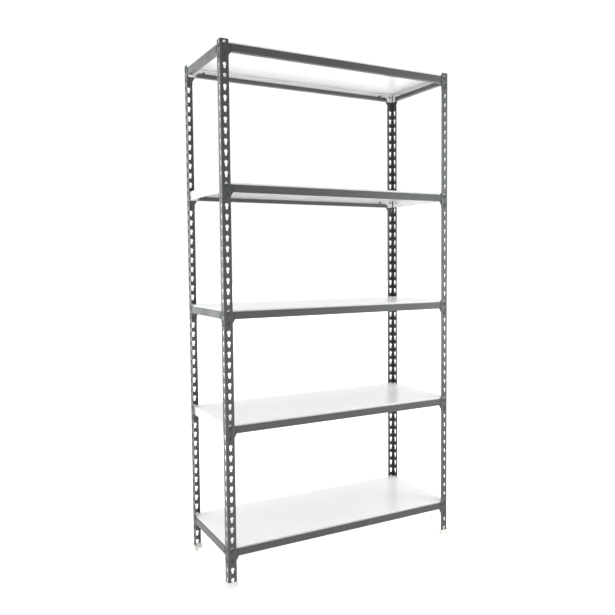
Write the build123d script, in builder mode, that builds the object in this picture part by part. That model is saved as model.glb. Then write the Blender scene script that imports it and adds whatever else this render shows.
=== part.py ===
from build123d import *
from math import radians, tan
import os

# Boltless steel shelving: four keyholed angle posts, five pairs of long beams,
# three pairs of side beams, five sheet-steel trays and four foot caps.
# Millimetres. X runs along the width, Y from front to back, Z up.
# The origin is the centre of the footprint, at the floor.

# Overall size, over the outer faces of the posts
WIDTH = 1016.0
DEPTH = 406.4
PITCH = 38.1                # distance between keyholes
KEYHOLE_COUNT = 52          # in each flange of each post
POST_LENGTH = KEYHOLE_COUNT * PITCH

# Post: an equal angle
FLANGE = 32.0
POST_T = 1.5
POST_BEND = 3.0             # outer radius of the bend
POST_EDGE_R = 2.5           # rounded corners at the ends of the flanges

# Keyhole: a round mouth with a narrower, tapered slot below it
KEYHOLE_INSET = 16.0        # centre line, from the post's outer corner
MOUTH_R = 6.5
THROAT_HALF_WIDTH = 5.3     # half the slot's width, taken at the mouth's centre
SLOT_R = 3.8
SLOT_DROP = 12.2            # from the mouth's centre to the centre of the slot's round end
TOP_MARGIN = 12.5           # from the post's top to the first mouth's centre

# Foot cap
SOLE_T = 3.0
CAP_HEIGHT = 19.0
CAP_GAP = 0.1               # clearance between cap and post
CAP_TOP_WALL = 2.0
CAP_FLARE = 7.0             # degrees, outwards towards the floor
CAP_CORNER_R = 1.5

# Levels, from the floor up: the keyhole, counted from the top, that each hangs in
LEVEL_KEYHOLES = {1: 48, 2: 36, 3: 25, 4: 13, 5: 0}
SIDE_BEAM_LEVELS = (1, 3, 5)

# Beam: a channel with a tall outer web, a floor and a low inner lip
BEAM_T = 1.2
BEAM_HEIGHT = 27.5
BEAM_WIDTH = 20.0
BEAM_LIP = 15.5
BEAM_BEND = 2.0
BEAM_DROP = 2.0             # top of the beam below the mouth's centre
BEAM_START = 42.0           # end of the web, from the post's outer corner
LIP_SETBACK = 3.0           # floor and lip stop this far short of the web's end
LIP_CHAMFER = 8.0
WEB_INSET = 0.3             # outer face of the web behind the post's outer face

# End plate: lies behind the post's flange and behind the web
PLATE_T = 1.8
PLATE_GAP = 0.1             # between the flange and the plate
PLATE_START = 5.5           # from the post's outer corner
PLATE_FOOT = 58.8           # bottom of the plate below the mouth's centre
PLATE_CHAMFER_DROP = 16.5   # lower slanted edge, beside the post
TONGUE_LENGTH = 22.0        # reaches in behind the web
TONGUE_MARGIN = 3.2         # narrower than the web, above and below
PLATE_R = 1.5

# Stud rivet
HEAD_R = 5.9
HEAD_HEIGHT = 2.2
HEAD_RIM = 0.5
SHANK_R = 3.6
TENON_R = 2.8
TENON_CLEARANCE = 0.05
TAIL_R = 4.0
TAIL_HEIGHT = 0.6

# Shelf panel: a tray turned upside down
PANEL_T = 0.9
PANEL_INSET = 4.9           # outer face of its flanges, from the post's outer face
PANEL_RISE = 7.7            # its top above the top of the beams
PANEL_SEAT_GAP = 0.05       # between its flanges and the beam's floor
PANEL_EDGE_R = 1.8
CORNER_SLIT = 4.0
SLIT_TOP = 4.0              # the slit stops this far below the panel's top
HOLE_DROP = 12.5            # centres of the flanges' holes below the panel's top
LONG_HOLES = (17.0, 74.0)   # from the ends of the panel
LONG_HOLE_LENGTH = 12.0
LONG_HOLE_HEIGHT = 7.0
SIDE_HOLES = (28.0, 78.0)
SIDE_HOLE_R = 4.0

# Worked out
POST_TOP = SOLE_T + POST_LENGTH
PANEL_LENGTH = WIDTH - 2 * PANEL_INSET
PANEL_DEPTH = DEPTH - 2 * PANEL_INSET
PANEL_HEIGHT = BEAM_HEIGHT + PANEL_RISE - BEAM_T - PANEL_SEAT_GAP
PLATE_OUTER = POST_T + PLATE_GAP
CORNERS = ("front_left", "front_right", "rear_right", "rear_left")
SIDES = {"front": 0, "right": 1, "rear": 2, "left": 3}


def write(part, name):
    part.label = name
    export_step(part, f"parts/{name}.step")


def mouth_height(keyhole_number):
    """Height of the centre of a keyhole's mouth above the floor."""
    return POST_TOP - TOP_MARGIN - keyhole_number * PITCH


def level_mouth(level):
    return mouth_height(LEVEL_KEYHOLES[level])


def corner_plane(corner, height):
    """Level plane at a post's outer corner; x and y run along its two flanges."""
    x = (-WIDTH / 2, WIDTH / 2, WIDTH / 2, -WIDTH / 2)[corner]
    y = (-DEPTH / 2, -DEPTH / 2, DEPTH / 2, DEPTH / 2)[corner]
    along = ((1, 0, 0), (0, 1, 0), (-1, 0, 0), (0, -1, 0))[corner]
    return Plane(origin=(x, y, height), x_dir=along, z_dir=(0, 0, 1))


def side_span(side):
    return WIDTH if side % 2 == 0 else DEPTH


def side_plane(side, height, depth=0.0):
    """Upright plane in the middle of one side, at a depth behind the posts' outer faces.

    Its x runs along the side, its y up, and its z points out of the rack.
    """
    corner = corner_plane(side, height)
    middle = corner.from_local_coords(Vector(side_span(side) / 2, depth, 0))
    return Plane(origin=middle, x_dir=corner.x_dir, z_dir=-corner.y_dir)


def angle_outline(growth):
    """The post's L, grown by the given amount all round, inside a BuildLine block."""
    inner = POST_T + growth
    tip = FLANGE + growth
    Polyline(
        (-growth, -growth),
        (tip, -growth),
        (tip, inner),
        (inner, inner),
        (inner, tip),
        (-growth, tip),
        close=True,
    )


def keyhole_outline():
    """One keyhole, with the centre of its mouth at the sketch's origin."""
    with BuildSketch() as outline:
        Circle(MOUTH_R)
        with Locations((0, -SLOT_DROP)):
            Circle(SLOT_R)
        with BuildLine():
            Polyline(
                (-THROAT_HALF_WIDTH, 0),
                (-SLOT_R, -SLOT_DROP),
                (SLOT_R, -SLOT_DROP),
                (THROAT_HALF_WIDTH, 0),
                close=True,
            )
        make_face()
    return outline.sketch


def make_post(corner, keyhole):
    """An equal angle with a row of keyholes in each flange."""
    with BuildPart() as post:
        with BuildSketch(corner_plane(corner, SOLE_T)):
            with BuildLine():
                angle_outline(0.0)
            make_face()
        extrude(amount=POST_LENGTH)
        tips = post.edges().filter_by(Axis.Z, reverse=True)
        fillet([edge for edge in tips if abs(edge.length - POST_T) < 0.01], POST_EDGE_R)
        bend = corner_plane(corner, SOLE_T + POST_LENGTH / 2).origin
        outer, inner = post.edges().filter_by(Axis.Z).sort_by_distance(bend)[:2]
        fillet(outer, POST_BEND)
        fillet(post.edges().filter_by(Axis.Z).sort_by_distance(inner.center())[0], POST_BEND - POST_T)
        row_middle = (mouth_height(0) + mouth_height(KEYHOLE_COUNT - 1)) / 2
        # The post's two flanges lie on the side that starts and the side that ends at this corner
        for side, inset in ((corner, KEYHOLE_INSET), ((corner + 3) % 4, -KEYHOLE_INSET)):
            offset_along = inset - side_span(side) / 2 * (1 if inset > 0 else -1)
            with BuildSketch(side_plane(side, row_middle)):
                with Locations((offset_along, 0)):
                    with GridLocations(PITCH, PITCH, 1, KEYHOLE_COUNT):
                        add(keyhole)
            extrude(amount=2 * POST_T, both=True, mode=Mode.SUBTRACT)
    return post.part


def make_foot_cap(corner):
    """A moulded shoe: an L-shaped socket that widens towards its sole."""
    growth = CAP_GAP + CAP_TOP_WALL + CAP_HEIGHT * tan(radians(CAP_FLARE))
    with BuildPart() as cap:
        with BuildSketch(corner_plane(corner, 0.0)) as sole:
            with BuildLine():
                angle_outline(growth)
            make_face()
            fillet(sole.vertices(), CAP_CORNER_R)
        extrude(amount=CAP_HEIGHT, taper=CAP_FLARE)
        with BuildSketch(corner_plane(corner, SOLE_T)) as socket:
            with BuildLine():
                angle_outline(CAP_GAP)
            make_face()
            bend = socket.vertices().sort_by_distance((POST_T + CAP_GAP, POST_T + CAP_GAP))[0]
            fillet(bend, POST_BEND - POST_T - CAP_GAP)
        extrude(amount=CAP_HEIGHT, mode=Mode.SUBTRACT)
    return cap.part


def make_beam(side, level):
    """A roll-formed channel along one side; its floor and lip stop short of its web."""
    bottom = level_mouth(level) - BEAM_DROP - BEAM_HEIGHT
    length = side_span(side) - 2 * BEAM_START
    web = side_plane(side, bottom, WEB_INSET)
    start = web.from_local_coords(Vector(-length / 2, 0, 0))
    with BuildPart() as beam:
        with BuildSketch(Plane(origin=start, x_dir=-web.z_dir, z_dir=web.x_dir)):
            with Locations((BEAM_WIDTH / 2, BEAM_HEIGHT)):
                RectangleRounded(BEAM_WIDTH, 2 * BEAM_HEIGHT, BEAM_BEND)
                RectangleRounded(
                    BEAM_WIDTH - 2 * BEAM_T,
                    2 * (BEAM_HEIGHT - BEAM_T),
                    BEAM_BEND - BEAM_T,
                    mode=Mode.SUBTRACT,
                )
            with Locations((0, BEAM_HEIGHT)):
                Rectangle(BEAM_WIDTH, 2 * BEAM_HEIGHT, align=(Align.MIN, Align.MIN), mode=Mode.SUBTRACT)
            with Locations((BEAM_T, BEAM_LIP)):
                Rectangle(BEAM_WIDTH, BEAM_HEIGHT, align=(Align.MIN, Align.MIN), mode=Mode.SUBTRACT)
        extrude(amount=length)
        with BuildSketch(side_plane(side, bottom, WEB_INSET + BEAM_WIDTH)):
            with BuildLine():
                Polyline(
                    (-length / 2, 0),
                    (-length / 2 + LIP_SETBACK, 0),
                    (-length / 2 + LIP_SETBACK, BEAM_LIP - LIP_CHAMFER),
                    (-length / 2 + LIP_SETBACK + LIP_CHAMFER, BEAM_LIP),
                    (-length / 2, BEAM_LIP),
                    close=True,
                )
            make_face()
            mirror(about=Plane.YZ)
        extrude(amount=BEAM_WIDTH - BEAM_BEND, mode=Mode.SUBTRACT)
    return beam.part


def make_end_plates(side, level):
    """The two plates that carry a beam's rivets, one behind each post's flange."""
    edge = -side_span(side) / 2
    tip = edge + BEAM_START
    beam_top = -BEAM_DROP
    beam_bottom = beam_top - BEAM_HEIGHT
    with BuildPart() as plates:
        with BuildSketch(side_plane(side, level_mouth(level), PLATE_OUTER)) as outline:
            with BuildLine():
                Polyline(
                    (edge + PLATE_START, beam_top),
                    (tip, beam_top),
                    (tip, beam_top - TONGUE_MARGIN),
                    (tip + TONGUE_LENGTH, beam_top - TONGUE_MARGIN),
                    (tip + TONGUE_LENGTH, beam_bottom + TONGUE_MARGIN),
                    (tip, beam_bottom + TONGUE_MARGIN),
                    (tip, beam_bottom),
                    (edge + FLANGE, beam_bottom - PLATE_CHAMFER_DROP),
                    (edge + FLANGE, -PLATE_FOOT),
                    (edge + PLATE_START, -PLATE_FOOT),
                    close=True,
                )
            make_face()
            fillet(outline.vertices().group_by(Axis.X)[0], PLATE_R)
            with Locations((edge + KEYHOLE_INSET, -SLOT_DROP), (edge + KEYHOLE_INSET, -SLOT_DROP - PITCH)):
                Circle(TENON_R + TENON_CLEARANCE, mode=Mode.SUBTRACT)
            mirror(about=Plane.YZ)
        extrude(amount=-PLATE_T)
    return plates.part


def make_rivet():
    """A stud rivet on the Z axis; z = 0 is the post's outer face, and +z points outwards."""
    shoulder = -PLATE_OUTER
    inside = shoulder - PLATE_T
    with BuildPart() as rivet:
        with BuildSketch(Plane.XZ):
            with BuildLine():
                TangentArc((0, HEAD_HEIGHT), (HEAD_R, HEAD_RIM), tangent=(1, 0))
                Polyline(
                    (HEAD_R, HEAD_RIM),
                    (HEAD_R, 0),
                    (SHANK_R, 0),
                    (SHANK_R, shoulder),
                    (TENON_R, shoulder),
                    (TENON_R, inside),
                    (TAIL_R, inside),
                    (TAIL_R - TAIL_HEIGHT, inside - TAIL_HEIGHT),
                    (0, inside - TAIL_HEIGHT),
                    (0, HEAD_HEIGHT),
                )
            make_face()
        revolve(axis=Axis.Z)
    return rivet.part


def rivet_planes(side, level):
    """Where the four rivets of one beam stand."""
    reach = side_span(side) / 2 - KEYHOLE_INSET
    face = side_plane(side, level_mouth(level) - SLOT_DROP)
    places = []
    for along in (-reach, reach):
        for drop in (0, PITCH):
            origin = face.from_local_coords(Vector(along, -drop, 0))
            places.append(Plane(origin=origin, x_dir=face.x_dir, z_dir=face.z_dir))
    return places


def make_rivets(sides, level, rivet):
    with BuildPart() as rivets:
        for side in sides:
            with Locations(*rivet_planes(side, level)):
                add(rivet)
    return rivets.part


def make_shelf_panel(level):
    """A sheet-steel tray: flat top, four down-turned flanges, open slits at its corners."""
    top = level_mouth(level) - BEAM_DROP + PANEL_RISE
    bottom = top - PANEL_HEIGHT
    hole_height = top - HOLE_DROP
    with BuildPart() as panel:
        with BuildSketch(Plane.XY.offset(bottom)):
            Rectangle(PANEL_LENGTH, PANEL_DEPTH)
        extrude(amount=PANEL_HEIGHT)
        fillet(panel.faces().sort_by(Axis.Z)[-1].edges(), PANEL_EDGE_R)
        offset(amount=-PANEL_T, openings=panel.faces().sort_by(Axis.Z)[0])
        with BuildSketch(Plane.XY.offset(bottom)):
            with GridLocations(PANEL_LENGTH, PANEL_DEPTH, 2, 2):
                Rectangle(2 * CORNER_SLIT, 2 * CORNER_SLIT)
        extrude(amount=PANEL_HEIGHT - SLIT_TOP, mode=Mode.SUBTRACT)
        with BuildSketch(Plane.XZ):
            for inset in LONG_HOLES:
                with Locations((0, hole_height)):
                    with GridLocations(PANEL_LENGTH - 2 * inset, 1, 2, 1):
                        SlotOverall(LONG_HOLE_LENGTH, LONG_HOLE_HEIGHT)
        extrude(amount=DEPTH, both=True, mode=Mode.SUBTRACT)
        with BuildSketch(Plane.YZ):
            for inset in SIDE_HOLES:
                with Locations((0, hole_height)):
                    with GridLocations(PANEL_DEPTH - 2 * inset, 1, 2, 1):
                        Circle(SIDE_HOLE_R)
        extrude(amount=WIDTH, both=True, mode=Mode.SUBTRACT)
    return panel.part


def build_all():
    os.makedirs("parts", exist_ok=True)
    keyhole = keyhole_outline()
    rivet = make_rivet()
    for corner, name in enumerate(CORNERS):
        write(make_post(corner, keyhole), f"post_{name}")
        write(make_foot_cap(corner), f"foot_cap_{name}")
    for level in LEVEL_KEYHOLES:
        write(make_shelf_panel(level), f"shelf_panel_{level}")
        for name, side in SIDES.items():
            if side % 2 == 1 and level not in SIDE_BEAM_LEVELS:
                continue
            kind = "long" if side % 2 == 0 else "side"
            write(make_beam(side, level), f"{kind}_beam_{name}_{level}")
            write(make_end_plates(side, level), f"end_plates_{name}_{level}")
        write(make_rivets((SIDES["front"], SIDES["rear"]), level, rivet), f"rivets_long_{level}")
        if level in SIDE_BEAM_LEVELS:
            write(make_rivets((SIDES["left"], SIDES["right"]), level, rivet), f"rivets_side_{level}")


build_all()
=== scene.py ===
from math import radians

import bmesh
import bpy
from bpy.props import FloatProperty, FloatVectorProperty, PointerProperty
from mathutils import Matrix, Vector

bl_info = {
    "name": "Boltless Steel Shelving",
    "version": (1, 0, 0),
    "blender": (4, 5, 0),
    "location": "3D View > Sidebar > Shelving",
    "description": "Finishes the packed shelving frame and sets it on a pale studio floor",
    "category": "Object",
}

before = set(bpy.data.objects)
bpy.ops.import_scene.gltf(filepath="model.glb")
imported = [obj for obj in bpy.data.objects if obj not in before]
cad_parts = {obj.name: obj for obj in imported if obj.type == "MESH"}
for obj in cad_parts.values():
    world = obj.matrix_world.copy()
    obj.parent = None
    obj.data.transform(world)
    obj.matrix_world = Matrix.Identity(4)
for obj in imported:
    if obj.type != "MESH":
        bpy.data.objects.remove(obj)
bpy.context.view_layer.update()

# pattern scales, in repeats per metre
CLOUDS = 5.0
SPECKS = 1400.0
SCUFFS = 90.0
HANDLING = 14.0
ROLL_MARKS = 160.0

# relief heights, in metres
ROLL_MARK_RELIEF = 0.00004
STEEL_RELIEF = 0.00003
PLASTIC_RELIEF = 0.00002

# the camera's fixed parts
SENSOR_WIDTH = 36.0
LENS_SHIFT = (-0.0272, -0.0129)
VIEW_DEPTH = 200.0

# where the white surround changes, by the direction's forward and upward part
NEAR_SIDE = (-0.45, 0.35)
OVERHEAD = (0.45, 0.95)

# soft boxes: place, aim, width, height, colour
KEY_BOX = ((3.2, -2.8, 1.6), (0.2, 0.0, 1.0), 2.4, 2.6, (0.95, 1.0, 0.99))
BACK_BOX = ((-1.9, 3.2, 1.6), (-0.4, 0.0, 1.0), 2.0, 2.6, (0.88, 0.95, 1.0))

POSTS = [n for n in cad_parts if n.startswith("post_")]
FOOT_CAPS = [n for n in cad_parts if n.startswith("foot_cap_")]
BEAMS = [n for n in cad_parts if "_beam_" in n]
END_PLATES = [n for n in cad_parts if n.startswith("end_plates_")]
RIVETS = [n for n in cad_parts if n.startswith("rivets_")]
SHELVES = [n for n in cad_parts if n.startswith("shelf_panel_")]


# ---------------------------------------------------------------- settings

class FinishSettings(bpy.types.PropertyGroup):
    """Colours and textures of the shelving's own finishes."""

    post_colour: FloatVectorProperty(
        name="Post Colour", description="Dark grey powder coat of the posts",
        subtype="COLOR", min=0.0, max=1.0, default=(0.052, 0.0545, 0.0545))
    beam_colour: FloatVectorProperty(
        name="Beam Colour", description="Dark grey powder coat of the beams and their end plates",
        subtype="COLOR", min=0.0, max=1.0, default=(0.051, 0.0535, 0.0525))
    shelf_colour: FloatVectorProperty(
        name="Shelf Colour", description="White powder coat of the shelves",
        subtype="COLOR", min=0.0, max=1.0, default=(0.765, 0.760, 0.752))
    rivet_colour: FloatVectorProperty(
        name="Rivet Colour", description="Blackened steel of the stud rivets",
        subtype="COLOR", min=0.0, max=1.0, default=(0.040, 0.041, 0.042))
    cap_colour: FloatVectorProperty(
        name="Foot Cap Colour", description="Natural plastic of the foot caps",
        subtype="COLOR", min=0.0, max=1.0, default=(0.80, 0.82, 0.76))
    coat_grain: FloatProperty(
        name="Coat Grain", description="Width of the powder coat's orange peel",
        subtype="DISTANCE", unit="LENGTH", default=0.0016, min=0.0002, max=0.02)
    coat_relief: FloatProperty(
        name="Coat Relief", description="Height of the powder coat's orange peel",
        subtype="DISTANCE", unit="LENGTH", default=0.00002, min=0.0, max=0.001)
    edge_wear: FloatProperty(
        name="Edge Wear", description="Width of the thin, paler coat along sheet edges",
        subtype="DISTANCE", unit="LENGTH", default=0.0007, min=0.0001, max=0.01)


class StudioSettings(bpy.types.PropertyGroup):
    """Camera, floor and lights."""

    camera_place: FloatVectorProperty(
        name="Camera Place", description="Where the camera stands",
        subtype="TRANSLATION", unit="LENGTH", default=(-1.3817, -2.5172, 1.2014))
    camera_turn: FloatProperty(
        name="Camera Turn", description="Turn of the camera to the right of straight ahead",
        subtype="ANGLE", unit="ROTATION", default=radians(29.023))
    camera_tilt: FloatProperty(
        name="Camera Tilt", description="How far the camera looks down",
        subtype="ANGLE", unit="ROTATION", default=radians(3.306))
    camera_roll: FloatProperty(
        name="Camera Roll", description="Roll about the line of sight",
        subtype="ANGLE", unit="ROTATION", default=radians(-0.467))
    focal_length: FloatProperty(
        name="Focal Length", description="Focal length in millimetres on a 36 mm sensor",
        subtype="DISTANCE_CAMERA", default=40.03, min=10.0, max=200.0)
    floor_size: FloatProperty(
        name="Floor Size", description="Width of the studio floor",
        subtype="DISTANCE", unit="LENGTH", default=60.0, min=4.0, max=200.0)
    floor_colour: FloatVectorProperty(
        name="Floor Colour", description="Pale floor", subtype="COLOR",
        min=0.0, max=1.0, default=(0.94, 0.94, 0.94))
    floor_glow: FloatProperty(
        name="Floor Glow", description="Light that the studio floor gives off, which softens shadows",
        default=0.35, min=0.0, max=5.0)
    surround: FloatProperty(
        name="Surround Light", description="Brightness of the white surround, behind and beside the rack",
        default=1.08, min=0.0, max=10.0)
    surround_front: FloatProperty(
        name="Front Light", description="Brightness of the surround on the near side",
        default=0.15, min=0.0, max=10.0)
    surround_top: FloatProperty(
        name="Top Light", description="Brightness of the surround overhead",
        default=1.8, min=0.0, max=10.0)
    key_power: FloatProperty(
        name="Key Light", description="Power of the large soft box at the right",
        subtype="POWER", unit="POWER", default=85.0, min=0.0, max=5000.0)
    back_power: FloatProperty(
        name="Back Light", description="Power of the soft box behind the left side",
        subtype="POWER", unit="POWER", default=24.0, min=0.0, max=5000.0)


# ---------------------------------------------------------------- material nodes

class NodeSheet:
    """A material's node tree, with short ways to add and join its nodes."""

    def __init__(self, name):
        self.material = bpy.data.materials.new(name)
        self.material.use_nodes = True
        self.tree = self.material.node_tree
        self.surface = next(n for n in self.tree.nodes if n.type == "BSDF_PRINCIPLED")
        self.place = self.add("ShaderNodeTexCoord").outputs["Object"]

    def add(self, kind, **values):
        node = self.tree.nodes.new(kind)
        for key, value in values.items():
            setattr(node, key, value)
        return node

    def put(self, socket, value):
        if isinstance(value, bpy.types.NodeSocket):
            self.tree.links.new(value, socket)
        else:
            socket.default_value = value

    def noise(self, scale, detail=2.0, roughness=0.5, place=None):
        node = self.add("ShaderNodeTexNoise")
        self.put(node.inputs["Vector"], place or self.place)
        node.inputs["Scale"].default_value = scale
        node.inputs["Detail"].default_value = detail
        node.inputs["Roughness"].default_value = roughness
        return node.outputs["Fac"]

    def stretch(self, scale, turn=(0.0, 0.0, 0.0)):
        node = self.add("ShaderNodeMapping")
        self.put(node.inputs["Vector"], self.place)
        node.inputs["Scale"].default_value = scale
        node.inputs["Rotation"].default_value = turn
        return node.outputs["Vector"]

    def spread(self, value, low, high, out_low=0.0, out_high=1.0):
        node = self.add("ShaderNodeMapRange")
        node.clamp = True
        self.put(node.inputs["Value"], value)
        numbers = {"From Min": low, "From Max": high, "To Min": out_low, "To Max": out_high}
        for socket, number in numbers.items():
            node.inputs[socket].default_value = number
        return node.outputs["Result"]

    def maths(self, operation, a, b=0.0):
        node = self.add("ShaderNodeMath", operation=operation)
        self.put(node.inputs[0], a)
        self.put(node.inputs[1], b)
        return node.outputs["Value"]

    def blend(self, amount, a, b):
        node = self.add("ShaderNodeMix", data_type="RGBA")
        self.put(node.inputs["Factor"], amount)
        self.put(node.inputs["A"], a)
        self.put(node.inputs["B"], b)
        return node.outputs["Result"]

    def edges(self, width):
        """1 along sharp edges, 0 on flat sheet."""
        rounded = self.add("ShaderNodeBevel", samples=6)
        rounded.inputs["Radius"].default_value = width
        flat = self.add("ShaderNodeNewGeometry")
        dot = self.add("ShaderNodeVectorMath", operation="DOT_PRODUCT")
        self.put(dot.inputs[0], rounded.outputs["Normal"])
        self.put(dot.inputs[1], flat.outputs["Normal"])
        return self.spread(dot.outputs["Value"], 0.97, 0.80)

    def relief(self, height, distance, below=None):
        node = self.add("ShaderNodeBump")
        node.inputs["Strength"].default_value = 1.0
        node.inputs["Distance"].default_value = distance
        self.put(node.inputs["Height"], height)
        if below is not None:
            self.put(node.inputs["Normal"], below)
        return node.outputs["Normal"]


def tint(colour, factor, warmth=0.0):
    return (
        min(1.0, colour[0] * factor * (1.0 + warmth)),
        min(1.0, colour[1] * factor),
        min(1.0, colour[2] * factor * (1.0 - warmth)),
        1.0,
    )


def powder_coat(name, colour, finish, roughness, wear, streaks=0.0, unevenness=1.0, shine=0.5):
    """Sprayed and baked powder: orange peel, soft tone changes, thin coat along the edges."""
    sheet = NodeSheet(name)
    clouds = sheet.noise(CLOUDS, 3.0, 0.55)
    speckle = sheet.noise(SPECKS, 2.0, 0.6)
    tone = sheet.blend(
        sheet.spread(clouds, 0.35, 0.68),
        tint(colour, 1.0 - 0.07 * unevenness, -0.01 * unevenness),
        tint(colour, 1.0 + 0.07 * unevenness, 0.012 * unevenness),
    )
    grainy = sheet.blend(sheet.spread(speckle, 0.35, 0.7, 0.0, 0.35), tone, tint(colour, 1.25))
    scuffs = sheet.noise(SCUFFS, 4.0, 0.7, sheet.stretch((1.0, 1.0, 0.25)))
    broken = sheet.spread(scuffs, 0.40, 0.72, 0.25, 1.0)
    thin = sheet.maths("MULTIPLY", sheet.edges(finish.edge_wear), broken)
    worn = sheet.maths("MULTIPLY", thin, wear)
    sheet.put(sheet.surface.inputs["Base Color"], sheet.blend(worn, grainy, tint(colour, 2.2)))
    handled = sheet.noise(HANDLING, 4.0, 0.6, sheet.stretch((1.0, 1.0, 0.45)))
    gloss = sheet.spread(handled, 0.30, 0.75, roughness - 0.06 * unevenness, roughness + 0.08 * unevenness)
    fine = sheet.maths("MULTIPLY", sheet.spread(speckle, 0.3, 0.7), 0.05)
    sheet.put(sheet.surface.inputs["Roughness"], sheet.maths("ADD", gloss, fine))
    peel = sheet.noise(1.0 / finish.coat_grain, 2.0, 0.45)
    lumps = sheet.noise(0.35 / finish.coat_grain, 1.0, 0.4)
    relief = sheet.relief(peel, finish.coat_relief)
    relief = sheet.relief(lumps, finish.coat_relief * 1.5 * unevenness, relief)
    if streaks:
        rolled = sheet.noise(ROLL_MARKS, 2.0, 0.5, sheet.stretch((0.01, 0.01, 1.0)))
        relief = sheet.relief(rolled, streaks, relief)
    sheet.put(sheet.surface.inputs["Normal"], relief)
    sheet.surface.inputs["IOR"].default_value = 1.5
    sheet.surface.inputs["Specular IOR Level"].default_value = shine
    return sheet.material


def blackened_steel(name, colour):
    """Blackened and oiled steel, mottled, a little paler where it has been handled."""
    sheet = NodeSheet(name)
    mottle = sheet.noise(420.0, 3.0, 0.6)
    patina = sheet.noise(60.0, 2.0, 0.5)
    base = sheet.blend(sheet.spread(mottle, 0.35, 0.7), tint(colour, 0.75), tint(colour, 1.4, 0.02))
    base = sheet.blend(sheet.spread(patina, 0.45, 0.75, 0.0, 0.4), base, tint(colour, 2.4))
    sheet.put(sheet.surface.inputs["Base Color"], base)
    sheet.put(sheet.surface.inputs["Roughness"], sheet.spread(mottle, 0.3, 0.75, 0.38, 0.55))
    sheet.surface.inputs["Specular IOR Level"].default_value = 0.35
    sheet.put(sheet.surface.inputs["Normal"], sheet.relief(mottle, STEEL_RELIEF))
    return sheet.material


def moulded_plastic(name, colour):
    """Natural polythene: waxy, slightly see-through, with a fine moulded grain."""
    sheet = NodeSheet(name)
    clouds = sheet.noise(55.0, 3.0, 0.5)
    grain = sheet.noise(1800.0, 2.0, 0.6)
    base = sheet.blend(sheet.spread(clouds, 0.35, 0.7), tint(colour, 0.95), tint(colour, 1.03))
    dusty = sheet.blend(sheet.spread(grain, 0.4, 0.75, 0.0, 0.2), base, tint(colour, 0.86, 0.02))
    sheet.put(sheet.surface.inputs["Base Color"], dusty)
    sheet.put(sheet.surface.inputs["Roughness"], sheet.spread(clouds, 0.3, 0.7, 0.38, 0.50))
    sheet.put(sheet.surface.inputs["Normal"], sheet.relief(grain, PLASTIC_RELIEF))
    sheet.surface.inputs["Subsurface Weight"].default_value = 0.35
    sheet.surface.inputs["Subsurface Radius"].default_value = (0.006, 0.0062, 0.006)
    sheet.surface.inputs["Subsurface Scale"].default_value = 1.0
    return sheet.material


def finish_nodes(names, material):
    for name in names:
        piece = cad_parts[name]
        piece.data.materials.clear()
        piece.data.materials.append(material)


# ---------------------------------------------------------------- operators

class SHELVING_OT_posts(bpy.types.Operator):
    """Finish the four keyholed angle posts in dark grey powder coat"""

    bl_idname = "shelving.posts"
    bl_label = "Posts"

    def execute(self, context):
        finish = context.scene.shelving_finish
        coat = powder_coat("grey_powder_coat_posts", finish.post_colour, finish, 0.34, 0.8)
        finish_nodes(POSTS, coat)
        return {"FINISHED"}


class SHELVING_OT_beams(bpy.types.Operator):
    """Finish the channel beams and their end plates in dark grey powder coat"""

    bl_idname = "shelving.beams"
    bl_label = "Beams"

    def execute(self, context):
        finish = context.scene.shelving_finish
        coat = powder_coat("grey_powder_coat_beams", finish.beam_colour, finish, 0.36, 0.7, ROLL_MARK_RELIEF)
        finish_nodes(BEAMS + END_PLATES, coat)
        return {"FINISHED"}


class SHELVING_OT_rivets(bpy.types.Operator):
    """Finish the stud rivets in blackened steel"""

    bl_idname = "shelving.rivets"
    bl_label = "Stud Rivets"

    def execute(self, context):
        steel = blackened_steel("blackened_steel", context.scene.shelving_finish.rivet_colour)
        finish_nodes(RIVETS, steel)
        return {"FINISHED"}


class SHELVING_OT_shelves(bpy.types.Operator):
    """Finish the loose shelf panels in white gloss powder coat"""

    bl_idname = "shelving.shelves"
    bl_label = "Shelf Panels"

    def execute(self, context):
        finish = context.scene.shelving_finish
        coat = powder_coat(
            "white_powder_coat_shelves", finish.shelf_colour, finish, 0.22, 0.2,
            unevenness=0.2, shine=0.38)
        finish_nodes(SHELVES, coat)
        return {"FINISHED"}


class SHELVING_OT_foot_caps(bpy.types.Operator):
    """Finish the moulded foot caps in natural plastic"""

    bl_idname = "shelving.foot_caps"
    bl_label = "Foot Caps"

    def execute(self, context):
        plastic = moulded_plastic("natural_plastic", context.scene.shelving_finish.cap_colour)
        finish_nodes(FOOT_CAPS, plastic)
        return {"FINISHED"}


def white_surround(studio):
    """A white room: brightest overhead, bright behind, dim on the near side."""
    world = bpy.data.worlds.new("white_surround")
    world.use_nodes = True
    nodes = world.node_tree.nodes
    links = world.node_tree.links
    background = next(n for n in nodes if n.type == "BACKGROUND")
    background.inputs["Color"].default_value = (0.985, 0.99, 1.0, 1.0)
    outwards = nodes.new("ShaderNodeSeparateXYZ")
    links.new(nodes.new("ShaderNodeTexCoord").outputs["Generated"], outwards.inputs["Vector"])

    def fade(value, start, end, at_start, at_end):
        node = nodes.new("ShaderNodeMapRange")
        node.interpolation_type = "SMOOTHSTEP"
        for socket, given in zip(node.inputs, (value, start, end, at_start, at_end)):
            if isinstance(given, bpy.types.NodeSocket):
                links.new(given, socket)
            else:
                socket.default_value = given
        return node.outputs["Result"]

    walls = fade(outwards.outputs["Y"], *NEAR_SIDE, studio.surround_front, studio.surround)
    strength = fade(outwards.outputs["Z"], *OVERHEAD, walls, studio.surround_top)
    path = nodes.new("ShaderNodeLightPath")
    seen = fade(path.outputs["Is Camera Ray"], 0.0, 1.0, strength, studio.surround)
    links.new(seen, background.inputs["Strength"])
    return world


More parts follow.
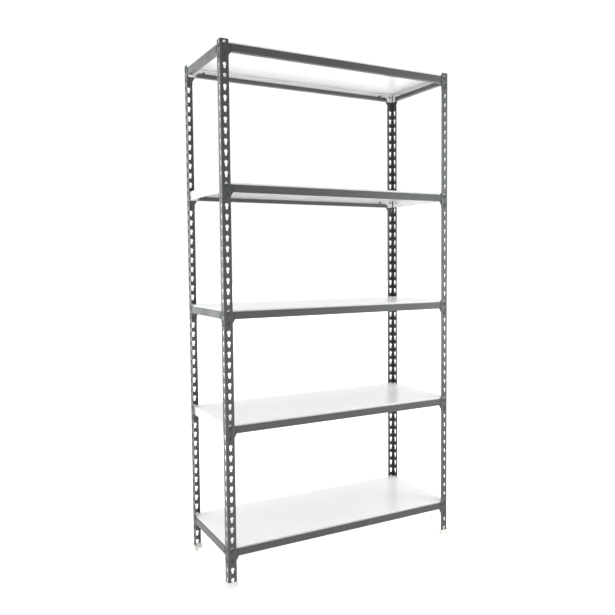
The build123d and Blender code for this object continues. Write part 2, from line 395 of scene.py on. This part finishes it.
def soft_box(name, power, place, aim, width, height, colour):
    light = bpy.data.lights.new(name, "AREA")
    light.shape = "RECTANGLE"
    light.size = width
    light.size_y = height
    light.energy = power
    light.color = colour
    lamp = bpy.data.objects.new(name, light)
    bpy.context.scene.collection.objects.link(lamp)
    towards = Vector(aim) - Vector(place)
    lamp.matrix_world = Matrix.Translation(place) @ towards.to_track_quat("-Z", "Y").to_matrix().to_4x4()


class SHELVING_OT_studio(bpy.types.Operator):
    """Lay the pale floor, hang the soft lights and stand the camera"""

    bl_idname = "shelving.studio"
    bl_label = "Studio"

    def execute(self, context):
        scene = context.scene
        studio = scene.shelving_studio
        self.lay_floor(scene, studio)
        self.light(scene, studio)
        self.stand_camera(scene, studio)
        return {"FINISHED"}

    def lay_floor(self, scene, studio):
        mesh = bpy.data.meshes.new("studio_floor")
        work = bmesh.new()
        bmesh.ops.create_grid(work, x_segments=4, y_segments=4, size=studio.floor_size / 2)
        work.to_mesh(mesh)
        work.free()
        floor = bpy.data.objects.new("studio_floor", mesh)
        scene.collection.objects.link(floor)
        sheet = NodeSheet("pale_floor")
        clouds = sheet.noise(0.8, 2.0)
        colour = studio.floor_colour
        sheet.put(
            sheet.surface.inputs["Base Color"],
            sheet.blend(clouds, tint(colour, 0.995), tint(colour, 1.005)),
        )
        sheet.surface.inputs["Roughness"].default_value = 0.6
        sheet.surface.inputs["Emission Color"].default_value = (1.0, 1.0, 1.0, 1.0)
        sheet.surface.inputs["Emission Strength"].default_value = studio.floor_glow
        mesh.materials.append(sheet.material)

    def light(self, scene, studio):
        scene.world = white_surround(studio)
        soft_box("key_soft_box", studio.key_power, *KEY_BOX)
        soft_box("back_soft_box", studio.back_power, *BACK_BOX)
        scene.view_settings.view_transform = "Standard"

    def stand_camera(self, scene, studio):
        lens = bpy.data.cameras.new("studio_camera")
        lens.lens = studio.focal_length
        lens.sensor_width = SENSOR_WIDTH
        lens.shift_x, lens.shift_y = LENS_SHIFT
        lens.clip_end = VIEW_DEPTH
        camera = bpy.data.objects.new("studio_camera", lens)
        scene.collection.objects.link(camera)
        camera.matrix_world = (
            Matrix.Translation(studio.camera_place)
            @ Matrix.Rotation(-studio.camera_turn, 4, "Z")
            @ Matrix.Rotation(radians(90.0) - studio.camera_tilt, 4, "X")
            @ Matrix.Rotation(studio.camera_roll, 4, "Z")
        )
        scene.camera = camera


class SHELVING_PT_panel(bpy.types.Panel):
    """Lists the shelving's pieces, finishes and studio"""

    bl_idname = "SHELVING_PT_panel"
    bl_label = "Boltless Shelving"
    bl_space_type = "VIEW_3D"
    bl_region_type = "UI"
    bl_category = "Shelving"

    def draw(self, context):
        column = self.layout.column(align=True)
        for step in STEPS:
            column.operator(step.bl_idname)
        for group in (context.scene.shelving_finish, context.scene.shelving_studio):
            box = self.layout.box()
            for key in group.__annotations__:
                box.prop(group, key)


SETTINGS = (FinishSettings, StudioSettings)
STEPS = (
    SHELVING_OT_posts,
    SHELVING_OT_beams,
    SHELVING_OT_rivets,
    SHELVING_OT_shelves,
    SHELVING_OT_foot_caps,
    SHELVING_OT_studio,
)
CLASSES = SETTINGS + STEPS + (SHELVING_PT_panel,)


def register():
    for cls in CLASSES:
        bpy.utils.register_class(cls)
    bpy.types.Scene.shelving_finish = PointerProperty(type=FinishSettings)
    bpy.types.Scene.shelving_studio = PointerProperty(type=StudioSettings)


def unregister():
    del bpy.types.Scene.shelving_studio
    del bpy.types.Scene.shelving_finish
    for cls in reversed(CLASSES):
        bpy.utils.unregister_class(cls)


def main():
    register()
    for step in STEPS:
        area, name = step.bl_idname.split(".")
        getattr(getattr(bpy.ops, area), name)()


if __name__ == "__main__":
    main()
